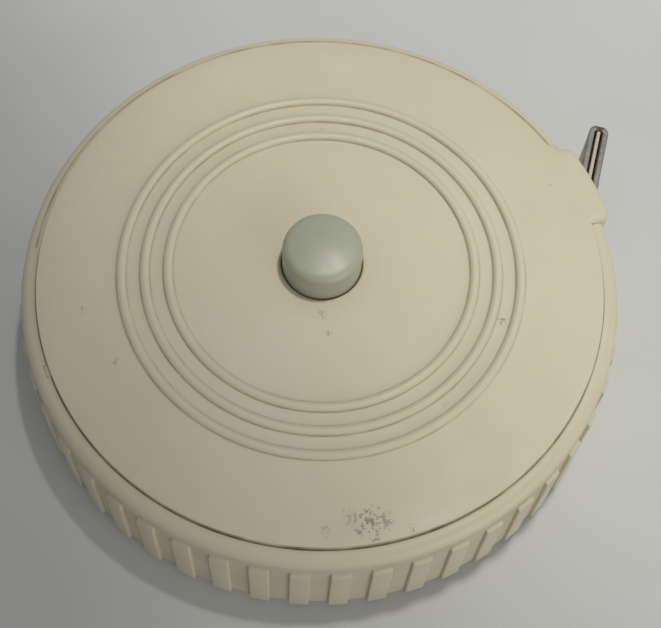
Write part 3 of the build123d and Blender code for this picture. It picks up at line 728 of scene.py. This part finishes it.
def tape_material():
    """Coated cloth tape with a ruled scale on its faces, counted along the tape's own line."""
    m, t, bsdf = material("tape_cloth")
    here = node(t, "ShaderNodeTexCoord").outputs["Object"]
    dot = node(t, "ShaderNodeVectorMath", {0: here, 1: tuple(ALONG)}, operation="DOT_PRODUCT")
    s = dot.outputs["Value"]
    z = node(t, "ShaderNodeSeparateXYZ", {0: here}).outputs[2]
    from_tip = math_node(t, "SUBTRACT", CLIP_TIP, s)
    base = ramp(t, noise(t, here, 260.0, 4.0), [(0.3, (0.60, 0.49, 0.385)), (0.7, (0.53, 0.43, 0.335))])

    def ticks(step, wide, reach):
        saw = math_node(t, "ABSOLUTE", math_node(t, "PINGPONG", from_tip, step / 2))
        line = math_node(t, "LESS_THAN", saw, wide / 2)
        high = math_node(t, "GREATER_THAN", z, LEAD_HIGH.z - reach)
        return math_node(t, "MULTIPLY", line, high)

    ink = math_node(t, "MAXIMUM", ticks(1 * MM, 0.16 * MM, 2.2 * MM), ticks(5 * MM, 0.2 * MM, 3.6 * MM))
    ink = math_node(t, "MAXIMUM", ink, ticks(10 * MM, 0.28 * MM, 6.5 * MM))
    inside = math_node(t, "LESS_THAN", z, LEAD_HIGH.z - 0.25 * MM)
    ink = math_node(t, "MULTIPLY", math_node(t, "MULTIPLY", ink, inside), 0.9)
    t.links.new(mix(t, ink, base, (0.02, 0.02, 0.022)), bsdf.inputs["Base Color"])
    bsdf.inputs["Roughness"].default_value = 0.48
    weave = node(t, "ShaderNodeTexNoise", {"Vector": here, "Scale": 2600.0, "Detail": 2.0}).outputs[0]
    bump = node(t, "ShaderNodeBump", {"Height": weave, "Strength": 0.2, "Distance": 0.00002})
    t.links.new(bump.outputs[0], bsdf.inputs["Normal"])
    return m


tape_mat = tape_material()


def paint(obj, m):
    obj.data.materials.clear()
    obj.data.materials.append(m)


paint(cover_obj, cover_mat)
paint(cup_obj, cup_mat)
paint(button_obj, button_mat)
paint(clip_obj, clip_mat)
paint(strip_obj, tape_mat)
STEEL_NODES = ("arbor", "drum_cap_screws", "tape_anchor_pin", "spring_anchor_pin", "plunger", "brake_disc")
for names, m in (
    (STEEL_NODES, steel_mat),
    (("mainspring", "retaining_ring", "button_spring"), spring_mat),
    (("thrust_washer", "reel_drum", "drum_cap"), white_mat),
    (("reel_bush",), brass_mat),
    (("brake_ring",), rubber_mat),
    (("tape_coil",), tape_mat),
    (("clip_rivet",), clip_mat),
):
    for n in names:
        paint(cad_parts[n], m)

# ---------------------------------------------------------------- floor, light and camera
FLOOR_HALF = 8.0
corners = ((-1, -1), (1, -1), (1, 1), (-1, 1))
floor = put("floor", [(x * FLOOR_HALF, y * FLOOR_HALF, 0) for x, y in corners], [(0, 1, 2, 3)])
floor_mat, t, bsdf = material("floor")
here = node(t, "ShaderNodeTexCoord").outputs["Object"]
floor_tone = ramp(t, noise(t, here, 30.0, 4.0), [(0.3, (0.60, 0.61, 0.59)), (0.7, (0.56, 0.57, 0.55))])
t.links.new(floor_tone, bsdf.inputs["Base Color"])
bsdf.inputs["Roughness"].default_value = 0.9
paint(floor, floor_mat)


def area(name, where, size, power, colour):
    light = bpy.data.lights.new(name, "AREA")
    light.shape = "RECTANGLE"
    light.size, light.size_y = size
    light.energy = power
    light.color = colour
    obj = bpy.data.objects.new(name, light)
    obj.location = where
    obj.rotation_euler = (Vector((0, 0, 0.01)) - Vector(where)).to_track_quat("-Z", "Y").to_euler()
    bpy.context.scene.collection.objects.link(obj)
    return obj


def pool(name, where, aim, size, blend, power, radius, colour):
    """A lamp whose round pool of light fades softly at its edge."""
    light = bpy.data.lights.new(name, "SPOT")
    light.spot_size = size
    light.spot_blend = blend
    light.energy = power
    light.shadow_soft_size = radius
    light.color = colour
    obj = bpy.data.objects.new(name, light)
    obj.location = where
    obj.rotation_euler = (Vector(aim) - Vector(where)).to_track_quat("-Z", "Y").to_euler()
    bpy.context.scene.collection.objects.link(obj)
    return obj


POOL_R, POOL_HEIGHT = 0.148, 0.50
POOL_X, POOL_Y = 0.086, 0.083
WARM_WHITE = (1.0, 0.98, 0.94)
pool_angle = 2 * math.atan(POOL_R / POOL_HEIGHT)
pool("key", (POOL_X, POOL_Y, POOL_HEIGHT), (POOL_X, POOL_Y, 0), pool_angle, 0.25, 5.4, 0.026, WARM_WHITE)
area("front", (0.44, -0.46, 0.18), (0.50, 0.40), 1.5, WARM_WHITE)
area("window", (0.40, 0.45, 0.50), (0.60, 0.50), 0.25, (0.94, 0.97, 1.0))
world = bpy.data.worlds.new("studio")
world.use_nodes = True
world.node_tree.nodes["Background"].inputs[0].default_value = (0.78, 0.80, 0.82, 1)
world.node_tree.nodes["Background"].inputs[1].default_value = 0.34
bpy.context.scene.world = world
bpy.context.scene.view_settings.view_transform = "Standard"

# the camera: placed by its distance and height angle from the middle of the cover, with the frame
# shifted as far as the off-centre framing needs
ELEVATION, ROLL, YAW, PITCH = 1.0702308, -0.0584949, 0.0035547, -0.0937955
DISTANCE = 108.443 * MM
right = Vector((1, 0, 0))
forward = Vector((0, math.cos(ELEVATION), -math.sin(ELEVATION)))
base = Matrix((right, right.cross(forward), -forward))
turn = Matrix.Rotation(ROLL, 3, "Z") @ Matrix.Rotation(PITCH, 3, "X") @ Matrix.Rotation(YAW, 3, "Y") @ base
camera = bpy.data.cameras.new("camera")
camera.sensor_width = 36.0
camera.lens = 66.81
camera.shift_x = -0.0039
camera.shift_y = -0.2518
camera.clip_start = 0.005
camera_obj = bpy.data.objects.new("camera", camera)
place = turn.transposed().to_4x4()
place.translation = Vector((0, -math.cos(ELEVATION), math.sin(ELEVATION))) * DISTANCE + Vector((0, 0, TOP))
camera_obj.matrix_world = place
bpy.context.scene.collection.objects.link(camera_obj)
bpy.context.scene.camera = camera_obj
